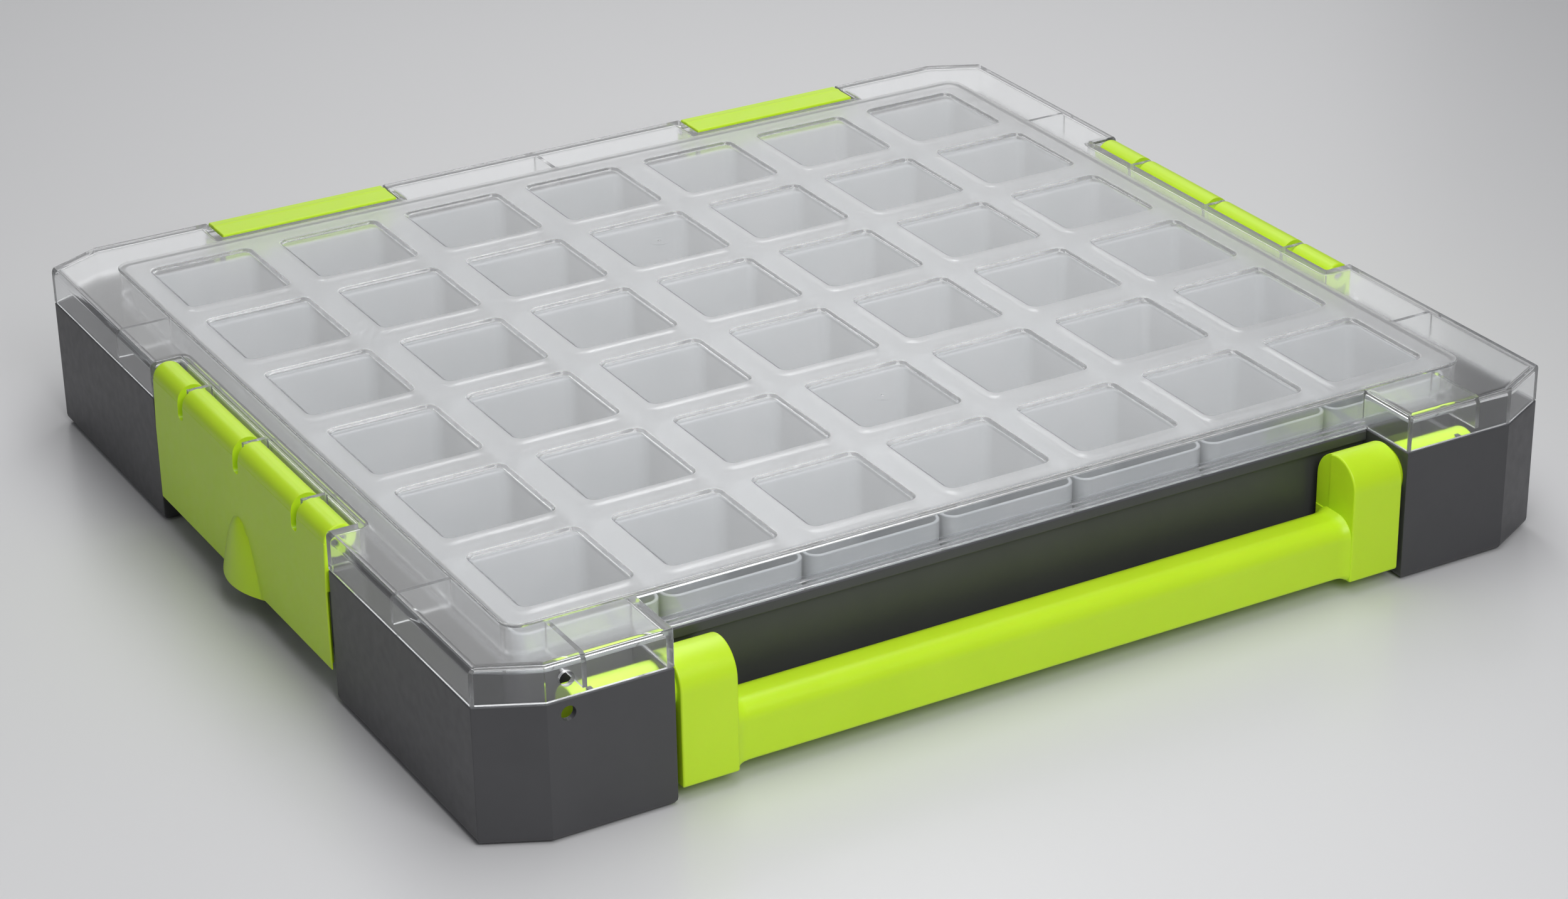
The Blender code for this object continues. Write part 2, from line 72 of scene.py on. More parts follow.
# ---------------------------------------------------------------- sizes of the case
CORNER_X = 0.020
CORNER_Y = 0.010
BLOCK_X = 0.1374                     # where the front corner blocks start
HANDLE_BAY = 0.0240                  # how far the front wall is set back behind the handle
LATCH_BAY = (0.112, 0.260)           # the side recesses, from the front
LATCH_BAY_DEPTH = 0.012
TAB_Y = 0.185                        # middle of the latches, their slots and their finger tabs
SLOT_PITCH = 0.048                   # between the slots of a latch, and between the ears in them
TRAY_WALL = 0.0022
TRAY_FLOOR = 0.0024
FOOT = 0.003                         # rounding around the bottom of the tray
WELL_X = 0.180                       # outside of the wall around the cups
WELL_Y = (0.0246, 0.347)
WELL_WALL = 0.0024
WELL_TOP = 0.046
WELL_CORNER = 0.006
LID_WALL = 0.0020
LID_CORNER = 0.0016                  # rounding under the lid's top, inside
SIDE_ROUNDING = 0.0038               # the lid's long side edges
EDGE = 0.0005                        # small rounding of moulded edges
SOFT = 0.0003                        # smallest rounding, on slabs
CRISP = 0.0001                       # rounding of edges that look sharp
HAIR = 0.00005                       # an offset that keeps two faces from lying in one plane
FLUSH = 0.00001                      # rounding of the ends of cutters
GAP = 0.0003                         # between pieces that meet
OVERLAP = 0.001                      # how far joined shapes run into each other
BEYOND = 0.01                        # how far cutters run past what they cut
ABOVE = 0.06                         # top of cutters that run up out of the tray or the handle
BELOW_LID = 0.03                     # bottom of shapes that run down out of the lid

# ribs and ledges of the tray
LIP_Y = (0.0214, 0.0250)             # lip along the top of the wall behind the handle
LIP_LOW = 0.0437
LEDGE_X = 0.1905                     # ledge in each latch bay that the latch's catch sits under
LEDGE_Z = (0.0405, 0.0440)
CATCH_X = (0.1910, 0.1985)
CATCH_Y = (0.128, 0.243)
CATCH_Z = (0.0360, 0.0395)
CRADLE_X = (0.1620, 0.1640)          # rib under each of the handle's stub axles
CRADLE_Y = (0.001, 0.0255)
CRADLE_Z = (0.001, 0.0455)
INNER_FOOT = 0.002                   # rounding around the bottom of the tray's inside
AXLE_BORE = 0.00845
AXLE_BORE_END = 0.170

# ribs and edges of the lid
LID_FRONT_SETBACK = 0.0005           # the lid's front recess is this much deeper than the tray's
LID_SIDE_STEP = 0.0006               # its side recesses are this much shallower
CLIP_CUTOUT = 0.3510                 # front edge of the cut-outs for the hinge covers
RING_LOW = 0.0500                    # bottom of the ring around the cups, and of most ribs
RIB_HALF = 0.0008
REAR_RIB_Y = (0.3465, 0.3660)
CROSS_RIBS_Y = (0.0647, 0.2937)
FRONT_RIB_X = (0.1660, 0.1676)
FRONT_RIB_LOW = 0.0490
SKIRT_RELIEF = (0.3612, 0.0492)      # behind this depth the rear skirt starts at this height
BAY_RELIEF_X = (0.1855, 0.1975)      # the lower edge also rises over the latch bays, within this width
BAY_RELIEF_Y = (0.1090, 0.2630)
PADLOCK_X = -0.173                   # holes for a padlock, in the tray and in the lid
PADLOCK_HOLE = 0.0025
PADLOCK_RING = 0.0038
PADLOCK_TRAY_Z = 0.0427
PADLOCK_LID_Z = 0.0542
PADLOCK_SPAN = (-0.004, 0.005)

# windows in the lid
PANE_SIZE = (0.03846, 0.03958)
PANE_FIRST = (-0.17055, 0.0339)      # front left corner of the first one
PANE_PITCH = (0.05029, 0.05237)
PANE_COUNT = (7, 6)
PANE_CORNER = 0.0030
PANE_EDGE = 0.0012                   # radius where the lid's top rolls over into a window
PANE_FOOT = 0.0016                   # radius where that slope meets the window's floor
PANE_SLOPE = math.radians(50)        # the steepest part between the two
PANE_DEPTH = (PANE_EDGE + PANE_FOOT) * (1 - math.cos(PANE_SLOPE))
GATE_MARK = 0.0045                   # radius of the moulding marks in two windows

# joints and what turns on them
HINGE = (RECORD_JOINTS["lid_hinge"].y - FRONT, RECORD_JOINTS["lid_hinge"].z)
HINGE_X = (CLIP_LOW.x, CLIP_HIGH.x)
PIVOT = (RECORD_JOINTS["handle_pivot"].y - FRONT, RECORD_JOINTS["handle_pivot"].z)
ROLL = (RECORD_JOINTS["latch_right_pivot"].x, RECORD_JOINTS["latch_right_pivot"].z)
BORE = 0.0019                        # for all four steel pins
HINGE_REACH = (0.060, 0.140)         # the hinge pins' bores, along X
ARC_STEPS = 8


# ---------------------------------------------------------------- outlines
def at(distance):
    """World Y of a distance measured from the front face."""
    return FRONT + distance


def rectangle(u, v, radius):
    """Anticlockwise corners (u, v, radius); radius is one value, or four from the low corner on."""
    radii = radius if isinstance(radius, tuple) else (radius,) * 4
    low_u, high_u, low_v, high_v = min(u), max(u), min(v), max(v)
    places = ((low_u, low_v), (high_u, low_v), (high_u, high_v), (low_u, high_v))
    return [(*place, r) for place, r in zip(places, radii)]


def disc(u, v, radius):
    return rectangle((u - radius, u + radius), (v - radius, v + radius), radius * 0.999)


def case_corners(front_bay, latch_bay, rear=()):
    """The outline of the case; rear holds extra points on the right half's rear edge."""
    right = [
        (BLOCK_X, front_bay), (BLOCK_X, 0.0), (HALF - CORNER_X, 0.0), (HALF, CORNER_Y),
        (HALF, LATCH_BAY[0]), (HALF - latch_bay, LATCH_BAY[0]),
        (HALF - latch_bay, LATCH_BAY[1]), (HALF, LATCH_BAY[1]),
        (HALF, DEPTH - CORNER_Y), (HALF - CORNER_X, DEPTH), *rear,
    ]
    left = [(-x, y) for x, y in reversed(right)]
    return [(x, at(y), EDGE) for x, y in right + left]


def ring(corners, inset, steps):
    """The outline moved inwards by inset, with every corner turned into an arc."""
    points = []
    count = len(corners)
    for index, (x, y, radius) in enumerate(corners):
        here = Vector((x, y))
        before = (here - Vector(corners[index - 1][:2])).normalized()
        after = (Vector(corners[(index + 1) % count][:2]) - here).normalized()
        inward = Vector((-before.y, before.x))
        mitre = (inward + Vector((-after.y, after.x))).normalized()
        corner = here + mitre * inset / mitre.dot(inward)
        turn = math.atan2(before.cross(after), before.dot(after))
        bend = 1 if turn > 0 else -1
        size = max(radius - bend * inset, 0.0001)
        start = corner - before * size * math.tan(abs(turn) / 2)
        centre = start + inward * size * bend
        for step in range(steps + 1):
            angle = turn * step / steps
            arm = Matrix.Rotation(angle, 2) @ (start - centre)
            points.append(centre + arm)
    return points


def quarter(start, end, first, steps=4):
    """A quarter turn between two (inset, height) points that leaves along its first direction."""
    points = []
    for step in range(steps + 1):
        angle = math.pi / 2 * step / steps
        early, late = math.sin(angle), 1 - math.cos(angle)
        shares = (early, late) if first == "inset" else (late, early)
        points.append(tuple(a + (b - a) * share for a, b, share in zip(start, end, shares)))
    return points


def pill(length, rounding):
    """The profile of a bar between two places along its length, with rounded ends."""
    low, high = min(length), max(length)
    return [*quarter((rounding, low), (0.0, low + rounding), "inset", 3),
            *quarter((0.0, high - rounding), (rounding, high), "height", 3)]


# ---------------------------------------------------------------- solids
def add_object(name, mesh):
    item = bpy.data.objects.new(name, mesh)
    bpy.context.scene.collection.objects.link(item)
    return item


def loft(name, rings):
    """A closed solid through rings that have the same number of points."""
    shape = bmesh.new()
    rows = [[shape.verts.new(point) for point in points] for points in rings]
    for low, high in zip(rows, rows[1:]):
        for index in range(len(low)):
            after = (index + 1) % len(low)
            shape.faces.new((low[index], low[after], high[after], high[index]))
    shape.faces.new(list(reversed(rows[0])))
    shape.faces.new(rows[-1])
    bmesh.ops.remove_doubles(shape, verts=shape.verts, dist=0.000001)
    bmesh.ops.recalc_face_normals(shape, faces=shape.faces)
    mesh = bpy.data.meshes.new(name)
    shape.to_mesh(mesh)
    shape.free()
    return add_object(name, mesh)


def stack(name, corners, profile, axis="Z", steps=2):
    """A solid whose outline follows (inset, height) points along an axis."""
    rings = []
    for inset, height in profile:
        outline = ring(corners, inset, steps)
        if axis == "X":
            rings.append([(height, u, v) for u, v in outline])
        elif axis == "Y":
            rings.append([(u, height, v) for u, v in outline])
        else:
            rings.append([(u, v, height) for u, v in outline])
    return loft(name, rings)


def slab(x, y, z, edge=SOFT):
    """A box with softened edges; y is measured from the front."""
    corners = rectangle(x, (at(min(y)), at(max(y))), edge)
    return stack("slab", corners, pill(z, edge))


def rod(radius, axis, centre, span, rounding=0.0002, steps=ARC_STEPS):
    """A round bar along X or Y; centre and span have y measured from the front."""
    if axis == "X":
        return stack("rod", disc(at(centre[0]), centre[1], radius), pill(span, rounding), "X", steps)
    span = (at(min(span)), at(max(span)))
    return stack("rod", disc(*centre, radius), pill(span, rounding), "Y", steps)


def gather(items):
    """Join tools that stand clear of each other into one object."""
    shape = bmesh.new()
    for item in items:
        shape.from_mesh(item.data)
        bpy.data.objects.remove(item)
    mesh = bpy.data.meshes.new("tools")
    shape.to_mesh(mesh)
    shape.free()
    return add_object("tools", mesh)


def combine(target, tool, operation):
    """Apply a Boolean at once and remove its tool."""
    modifier = target.modifiers.new(operation.lower(), "BOOLEAN")
    modifier.operation = operation
    modifier.solver = "EXACT"
    modifier.object = tool
    graph = bpy.context.evaluated_depsgraph_get()
    mesh = bpy.data.meshes.new_from_object(target.evaluated_get(graph))
    target.modifiers.clear()
    target.data = mesh
    bpy.data.objects.remove(tool)


def cut(target, *tools):
    for tool in tools:
        combine(target, tool, "DIFFERENCE")


def join(target, *tools):
    for tool in tools:
        combine(target, tool, "UNION")


def keep_inside(target, tool):
    combine(target, tool, "INTERSECT")


# ---------------------------------------------------------------- materials
def new_material(name):
    material = bpy.data.materials.new(name)
    material.use_nodes = True
    tree = material.node_tree
    return material, tree, tree.nodes["Principled BSDF"]


def noise(tree, scale, detail=2.0, stretch=None):
    """A noise texture in object space, in cycles per metre."""
    place = tree.nodes.new("ShaderNodeTexCoord")
    texture = tree.nodes.new("ShaderNodeTexNoise")
    texture.inputs["Scale"].default_value = scale
    texture.inputs["Detail"].default_value = detail
    vector = place.outputs["Object"]
    if stretch:
        mapping = tree.nodes.new("ShaderNodeMapping")
        mapping.inputs["Scale"].default_value = stretch
        tree.links.new(vector, mapping.inputs["Vector"])
        vector = mapping.outputs["Vector"]
    tree.links.new(vector, texture.inputs["Vector"])
    return texture.outputs["Fac"]


def spread(tree, value, low, high, start=0.3, end=0.7):
    """Map a 0 to 1 value onto a range."""
    ranged = tree.nodes.new("ShaderNodeMapRange")
    for name, number in (("From Min", start), ("From Max", end), ("To Min", low), ("To Max", high)):
        ranged.inputs[name].default_value = number
    tree.links.new(value, ranged.inputs["Value"])
    return ranged.outputs["Result"]


def blend_colours(tree, factor, first, second):
    mix = tree.nodes.new("ShaderNodeMix")
    mix.data_type = "RGBA"
    tree.links.new(factor, mix.inputs["Factor"])
    for socket, colour in ((mix.inputs[6], first), (mix.inputs[7], second)):
        if isinstance(colour, tuple):
            socket.default_value = (*colour, 1.0)
        else:
            tree.links.new(colour, socket)
    return mix.outputs[2]


def relief(tree, shader, layers):
    """Chain bump nodes; each layer is (height, depth in metres, strength)."""
    normal = None
    for height, depth, strength in layers:
        bump = tree.nodes.new("ShaderNodeBump")
        bump.inputs["Distance"].default_value = depth
        bump.inputs["Strength"].default_value = strength
        tree.links.new(height, bump.inputs["Height"])
        if normal:
            tree.links.new(normal, bump.inputs["Normal"])
        normal = bump.outputs["Normal"]
    tree.links.new(normal, shader.inputs["Normal"])


def moulded(name, dark, light, roughness, grain_depth, specular=0.5):
    """An opaque moulded plastic with a fine eroded grain and slow colour drift."""
    material, tree, shader = new_material(name)
    drift = spread(tree, noise(tree, 28.0, 4.0), 0.0, 1.0)
    tree.links.new(blend_colours(tree, drift, dark, light), shader.inputs["Base Color"])
    scuffs = noise(tree, 240.0, 5.0)
    tree.links.new(spread(tree, scuffs, *roughness), shader.inputs["Roughness"])
    grain = noise(tree, 2600.0, 2.0)
    ripple = noise(tree, 90.0, 1.0)
    relief(tree, shader, [(grain, grain_depth, 0.5), (ripple, 0.00004, 0.15)])
    shader.inputs["Specular IOR Level"].default_value = specular
    return material, tree, shader


def grey_plastic():
    return moulded("grey_plastic", (0.058, 0.058, 0.062), (0.066, 0.066, 0.071), (0.38, 0.46),
                   0.00003)[0]


def lime_plastic():
    material, tree, shader = moulded("lime_plastic", (0.59, 0.88, 0.016), (0.62, 0.91, 0.022),
                                     (0.34, 0.42), 0.00002)
    shader.inputs["Subsurface Weight"].default_value = 0.25
    shader.inputs["Subsurface Radius"].default_value = (0.6, 1.0, 0.2)
    shader.inputs["Subsurface Scale"].default_value = 0.0015
    return material


def let_lamps_through(material, tint):
    """Rays from lamps pass straight through, so that what lies behind stays lit."""
    tree = material.node_tree
    surface = tree.nodes["Principled BSDF"].outputs[0]
    path = tree.nodes.new("ShaderNodeLightPath")
    clear = tree.nodes.new("ShaderNodeBsdfTransparent")
    clear.inputs["Color"].default_value = (*tint, 1.0)
    mix = tree.nodes.new("ShaderNodeMixShader")
    tree.links.new(path.outputs["Is Shadow Ray"], mix.inputs["Fac"])
    tree.links.new(surface, mix.inputs[1])
    tree.links.new(clear.outputs[0], mix.inputs[2])
    tree.links.new(mix.outputs[0], tree.nodes["Material Output"].inputs["Surface"])


def height_of(tree, output):
    """The vertical part of a texture coordinate: of the place itself, or of its normal."""
    place = tree.nodes.new("ShaderNodeTexCoord")
    axes = tree.nodes.new("ShaderNodeSeparateXYZ")
    tree.links.new(place.outputs[output], axes.inputs["Vector"])
    return axes.outputs["Z"]


def multiply(tree, first, second):
    product = tree.nodes.new("ShaderNodeMath")
    product.operation = "MULTIPLY"
    tree.links.new(first, product.inputs[0])
    tree.links.new(second, product.inputs[1])
    return product.outputs[0]


def clear_plastic():
    """Fine scratches and waves all over; what faces up, most of all between windows, is rougher (a real
    film of fine scratches) and lets less light through, and the white that shows there is painted sheen.
    """
    raised_z = (TOP - 0.0005, TOP - 0.0001)
    material, tree, shader = new_material("clear_plastic")
    shader.inputs["Base Color"].default_value = (0.975, 0.980, 0.985, 1.0)
    shader.inputs["IOR"].default_value = 1.49
    up = spread(tree, height_of(tree, "Normal"), 0.7, 1.0, 0.90, 0.99)
    raised = spread(tree, height_of(tree, "Object"), 0.24, 1.0, *raised_z)
    film_and_sheen_patches = spread(tree, noise(tree, 55.0, 6.0, (1.0, 0.35, 1.0)), 0.94, 1.0)
    # painted sheen: on what faces up, the lowered transmission shows the white base colour in place of
    # the reflected backdrop light; the added roughness is a real film of scratches
    film_and_sheen = multiply(tree, multiply(tree, up, film_and_sheen_patches), raised)
    tree.links.new(spread(tree, film_and_sheen, 1.0, 0.78, 0.0, 1.0), shader.inputs["Transmission Weight"])
    tree.links.new(spread(tree, film_and_sheen, 0.03, 0.36, 0.0, 1.0), shader.inputs["Roughness"])
    scratches = noise(tree, 300.0, 8.0, (1.0, 0.06, 1.0))
    waves = noise(tree, 45.0, 2.0)
    relief(tree, shader, [(scratches, 0.00002, 0.15), (waves, 0.0002, 0.10)])
    let_lamps_through(material, (0.93, 0.94, 0.95))
    return material


def milky_plastic():
    material, tree, shader = new_material("milky_plastic")
    drift = spread(tree, noise(tree, 60.0, 4.0), 0.0, 1.0)
    tree.links.new(blend_colours(tree, drift, (0.41, 0.43, 0.445), (0.46, 0.47, 0.485)),
                   shader.inputs["Base Color"])
    shader.inputs["Transmission Weight"].default_value = 0.30
    shader.inputs["IOR"].default_value = 1.49
    tree.links.new(spread(tree, noise(tree, 180.0, 6.0), 0.28, 0.40), shader.inputs["Roughness"])
    relief(tree, shader, [(noise(tree, 900.0, 2.0), 0.00003, 0.3)])
    let_lamps_through(material, (0.62, 0.63, 0.64))
    return material


def pin_steel():
    material, tree, shader = new_material("pin_steel")
    drawn = noise(tree, 900.0, 4.0, (1.0, 0.05, 1.0))
    tree.links.new(blend_colours(tree, spread(tree, drawn, 0.0, 1.0), (0.50, 0.50, 0.51),
                                 (0.66, 0.66, 0.67)), shader.inputs["Base Color"])
    shader.inputs["Metallic"].default_value = 1.0
    tree.links.new(spread(tree, drawn, 0.22, 0.38), shader.inputs["Roughness"])
    relief(tree, shader, [(drawn, 0.00003, 0.4)])
    return material


GREY = grey_plastic()
LIME = lime_plastic()
CLEAR = clear_plastic()
MILKY = milky_plastic()
STEEL = pin_steel()


def finish_piece(item, name, material, slot, body, *nodes):
    """Name, shade and paint a piece, tie it to its body, and hide the nodes it stands for."""
    item.name = name
    item.data.name = name
    item.data.materials.clear()
    item.data.materials.append(material)
    item.data.shade_smooth()
    item.data.set_sharp_from_angle(angle=math.radians(38))
    even = item.modifiers.new("even_shading", "WEIGHTED_NORMAL")
    even.keep_sharp = True
    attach(item, body)
    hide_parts(*nodes)
    return item


# ---------------------------------------------------------------- tray
def tray_ribs():
    """Lips, ledges and cradles that stand on the tray's walls."""
    lip_x = BLOCK_X - GAP
    ribs = [slab((-lip_x, lip_x), LIP_Y, (LIP_LOW, RIM), 2 * SOFT)]
    for side, sign in SIDES:
        wall = HALF - LATCH_BAY_DEPTH
        ribs.append(slab((sign * (wall - OVERLAP), sign * LEDGE_X), CATCH_Y, LEDGE_Z))
        ribs.append(slab((sign * CRADLE_X[0], sign * CRADLE_X[1]), CRADLE_Y, CRADLE_Z))
    return gather(ribs)


def build_tray():
    play = 0.0006
    seat = (HINGE_X[0] - play, HINGE_X[1] + play)
    skin = 0.0022
    deeper = DEPTH - skin - play
    notch = [(seat[1], DEPTH), (seat[1], deeper), (seat[0], deeper), (seat[0], DEPTH)]
    tray = stack("tray_shell", case_corners(HANDLE_BAY, LATCH_BAY_DEPTH), [
        *quarter((FOOT, 0.0), (0.0, FOOT), "inset"),
        *quarter((0.0, RIM - EDGE), (EDGE, RIM), "height")])
    cut(tray, stack("hollow", case_corners(HANDLE_BAY, LATCH_BAY_DEPTH, notch), [
        *quarter((TRAY_WALL + INNER_FOOT, TRAY_FLOOR), (TRAY_WALL, TRAY_FLOOR + INNER_FOOT), "inset"),
        *quarter((TRAY_WALL, RIM - EDGE), (TRAY_WALL - EDGE, RIM), "height"),
        (TRAY_WALL - EDGE, RIM + BEYOND)]))
    field = rectangle((-WELL_X, WELL_X), (at(WELL_Y[0]), at(WELL_Y[1])), WELL_CORNER)
    wall = stack("well_wall", field, [
        (0.0, TRAY_FLOOR / 2), *quarter((0.0, WELL_TOP - EDGE), (EDGE, WELL_TOP), "height")], steps=6)
    cut(wall, stack("well", field, [
        (WELL_WALL, 0.0), *quarter((WELL_WALL, WELL_TOP - EDGE), (WELL_WALL - EDGE, WELL_TOP), "height"),
        (WELL_WALL - EDGE, ABOVE)], steps=6))
    join(tray, wall, tray_ribs())
    holes = []
    seats = []
    for side, sign in SIDES:
        holes.append(rod(AXLE_BORE, "X", PIVOT, (sign * (BLOCK_X - 2 * OVERLAP), sign * AXLE_BORE_END)))
        seats.append(slab((sign * seat[0], sign * seat[1]), (deeper, DEPTH + BEYOND),
                          (CLIP_LOW.z - play, ABOVE)))
    cut(tray, gather(holes), gather(seats))
    cut(tray, rod(PADLOCK_HOLE, "Y", (PADLOCK_X, PADLOCK_TRAY_Z), PADLOCK_SPAN))
    return finish_piece(tray, "tray_shell", GREY, "grey_plastic", "tray", "body_tray")


# ---------------------------------------------------------------- lid
def lid_outline():
    play = 0.0007
    return case_corners(HANDLE_BAY + LID_FRONT_SETBACK, LATCH_BAY_DEPTH - LID_SIDE_STEP, [
        (HINGE_X[1] + play, DEPTH), (HINGE_X[1] + play, CLIP_CUTOUT),
        (HINGE_X[0] - play, CLIP_CUTOUT), (HINGE_X[0] - play, DEPTH)])


def sunk_panes():
    """Cutters for the windows, with a soft slope from the lid's top down to their floor."""
    tools = []
    floor = TOP - PANE_DEPTH
    steps = 5
    angles = [PANE_SLOPE * step / steps for step in range(steps + 1)]
    foot = PANE_FOOT * math.sin(PANE_SLOPE)
    edge = PANE_EDGE * math.sin(PANE_SLOPE)
    profile = [(foot - PANE_FOOT * math.sin(angle), floor + PANE_FOOT * (1 - math.cos(angle)))
               for angle in angles]
    profile += [(PANE_EDGE * math.sin(angle) - edge, TOP - PANE_EDGE * (1 - math.cos(angle)))
                for angle in reversed(angles[:-1])]
    profile.append((-edge - EDGE, TOP + GAP))
    for row in range(PANE_COUNT[1]):
        for column in range(PANE_COUNT[0]):
            x = PANE_FIRST[0] + column * PANE_PITCH[0]
            y = at(PANE_FIRST[1] + row * PANE_PITCH[1])
            corners = rectangle((x, x + PANE_SIZE[0]), (y, y + PANE_SIZE[1]), PANE_CORNER)
            tools.append(stack("pane", corners, profile, steps=6))
    return gather(tools)


def gate_marks():
    """Shallow round pips left by moulding, in the middle of two windows of the centre column."""
    pip = ((0.0, -0.0004), (0.0, 0.0), (0.0004, 0.00012), (0.0010, 0.00005), (0.0036, 0.00008),
           (0.0040, 0.0003))        # inset from the pip's edge, and height above the window's floor
    marks = []
    column = PANE_COUNT[0] // 2
    floor = TOP - PANE_DEPTH
    for row in (1, 4):
        x = PANE_FIRST[0] + column * PANE_PITCH[0] + PANE_SIZE[0] / 2
        y = at(PANE_FIRST[1] + row * PANE_PITCH[1] + PANE_SIZE[1] / 2)
        profile = [(inset, floor + rise) for inset, rise in pip]
        marks.append(stack("mark", disc(x, y, GATE_MARK), profile, steps=8))
    return gather(marks)


def lid_ribs():
    """Cross ribs of the skirt, and the ears that carry the latch pins."""
    under = DECK - LID_WALL / 2
    ear_x = (0.1876, ROLL[0] + 0.0024)
    ear_z = (0.0532, DECK - 0.0004)
    ear_half = 0.001
    ribs = [slab((-RIB_HALF, RIB_HALF), REAR_RIB_Y, (RING_LOW, under), CRISP)]
    for side, sign in SIDES:
        for y in CROSS_RIBS_Y:
            ribs.append(slab((sign * (WELL_X - OVERLAP), sign * (HALF - OVERLAP)),
                             (y - RIB_HALF, y + RIB_HALF), (RING_LOW, under), CRISP))
        ribs.append(slab((sign * FRONT_RIB_X[0], sign * FRONT_RIB_X[1]), CRADLE_Y,
                         (FRONT_RIB_LOW, under), CRISP))
        for index in (-1, 0, 1):
            y = TAB_Y + index * SLOT_PITCH
            ribs.append(slab((sign * ear_x[0], sign * ear_x[1]), (y - ear_half, y + ear_half),
                             ear_z, 2 * CRISP))
    return gather(ribs)


def rounded_bar(half_width, top, rounding):
    """A long bar with rounded upper side edges, as deep as the case."""
    section = rectangle((-half_width, half_width), (BELOW_LID, top), (0.001, 0.001, rounding, rounding))
    return stack("bar", section, [(0.0, at(-BEYOND)), (0.0, at(DEPTH + BEYOND))], "Y", 8)


def hinge_bore(sign):
    """The bore for one hinge pin."""
    return rod(BORE, "X", HINGE, (sign * HINGE_REACH[0], sign * HINGE_REACH[1]), FLUSH)


def build_lid():
    outline = lid_outline()
    low_edge = 0.0002
    cutters_low, cutters_high = 0.04, 0.07
    wide = 0.21
    lid = stack("lid_shell", outline, [
        (low_edge, PARTING), (0.0, PARTING + low_edge),
        *quarter((0.0, DECK - EDGE), (EDGE, DECK), "height")])
    keep_inside(lid, rounded_bar(HALF + HAIR, DECK + OVERLAP, SIDE_ROUNDING))
    field = rectangle((-WELL_X, WELL_X), (at(WELL_Y[0]), at(WELL_Y[1])), WELL_CORNER)
    join(lid, stack("field", field, [
        (EDGE, DECK - OVERLAP), (-low_edge, DECK), *quarter((0.0, DECK + HAIR), (EDGE, TOP), "height")],
        steps=6))
    under = DECK - LID_WALL
    cut(lid, stack("hollow", outline, [
        (LID_WALL, BELOW_LID),
        *quarter((LID_WALL, under - LID_CORNER), (LID_WALL + LID_CORNER, under), "height")]))
    band = rectangle((-WELL_X + GAP, WELL_X - GAP),
                     (at(WELL_Y[0] + GAP), at(WELL_Y[1] - GAP)), WELL_CORNER)
    cap_ring = stack("cap_ring", band, [(0.0, RING_LOW), (0.0, DECK - LID_WALL / 2)], steps=6)
    cut(cap_ring, stack("cap_ring_hollow", band, [
        (LID_WALL, cutters_low), (LID_WALL, cutters_high)], steps=6))
    join(lid, cap_ring)
    lip_x = BLOCK_X + OVERLAP
    lip_front, lip_rear, lip_top = 0.0229, 0.0255, 0.0488
    join(lid, slab((-lip_x, lip_x), (LIP_Y[0], lip_rear), (PARTING, lip_top)))
    join(lid, slab((-lip_x, lip_x), (lip_front, lip_rear), (PARTING + GAP, RING_LOW)))
    join(lid, lid_ribs())
    bores = [rod(BORE, "Y", (sign * ROLL[0], ROLL[1]), LATCH_BAY, FLUSH) for side, sign in SIDES]
    cut(lid, gather(bores))
    bores = [hinge_bore(sign) for side, sign in SIDES]
    cut(lid, gather(bores))
    relief_y, relief_z = SKIRT_RELIEF
    cut(lid, slab((-wide, wide), (relief_y, DEPTH + BEYOND), (cutters_low, relief_z)))
    join(lid, rod(PADLOCK_RING, "Y", (PADLOCK_X, PADLOCK_LID_Z), (low_edge, LID_WALL)))
    cut(lid, rod(PADLOCK_HOLE, "Y", (PADLOCK_X, PADLOCK_LID_Z), PADLOCK_SPAN))
    for side, sign in SIDES:
        span = (sign * BAY_RELIEF_X[0], sign * BAY_RELIEF_X[1])
        cut(lid, slab(span, BAY_RELIEF_Y, (cutters_low, relief_z)))
    cut(lid, sunk_panes())
    join(lid, gate_marks())
    return finish_piece(lid, "lid_shell", CLEAR, "clear_plastic", "lid", "lid")


# ---------------------------------------------------------------- handle
def build_handle():
    leg = (0.1160, 0.1357)
    radius = PIVOT[0]
    grip_y, grip_z = (0.0018, 0.0184), (0.0065, 0.0264)
    lower, upper, foot = 0.0015, 0.0060, 0.0012
    grip = rectangle((at(grip_y[0]), at(grip_y[1])), grip_z, (lower, lower, upper, upper))
    reach = leg[0] + EDGE
    # the grip swells where it meets a leg: negative inset, and distance from the leg
    flare = [(-0.0013, 0.0), (-0.0012, 0.0008), (-0.0006, 0.0017), (-0.0002, 0.0030), (0.0, 0.0048)]
    profile = [(inset, -reach + run) for inset, run in flare]
    profile += [(inset, reach - run) for inset, run in reversed(flare)]
    handle = stack("carry_handle", grip, profile, "X", 8)
    for side, sign in SIDES:
        section = rectangle((at(0.0), at(2 * radius)), (HANDLE_LOW.z, PIVOT[1] + radius),
                            (foot, foot, radius * 0.999, radius * 0.999))
        post = stack("leg", section, pill((sign * leg[0], sign * leg[1]), 0.0007), "X", 12)
        recess = slab((sign * (leg[0] - 2 * OVERLAP), sign * (leg[0] + 0.0004)), (radius + 0.003, 0.03),
                      (grip_z[1], ABOVE), CRISP)
        cut(post, recess)
        join(handle, post)
        axle = (sign * (leg[1] - 2 * OVERLAP), sign * HANDLE_HIGH.x)
        join(handle, rod(0.0080, "X", PIVOT, axle, 2 * SOFT, 10))
    return finish_piece(handle, "carry_handle", LIME, "lime_plastic", "handle", "handle")


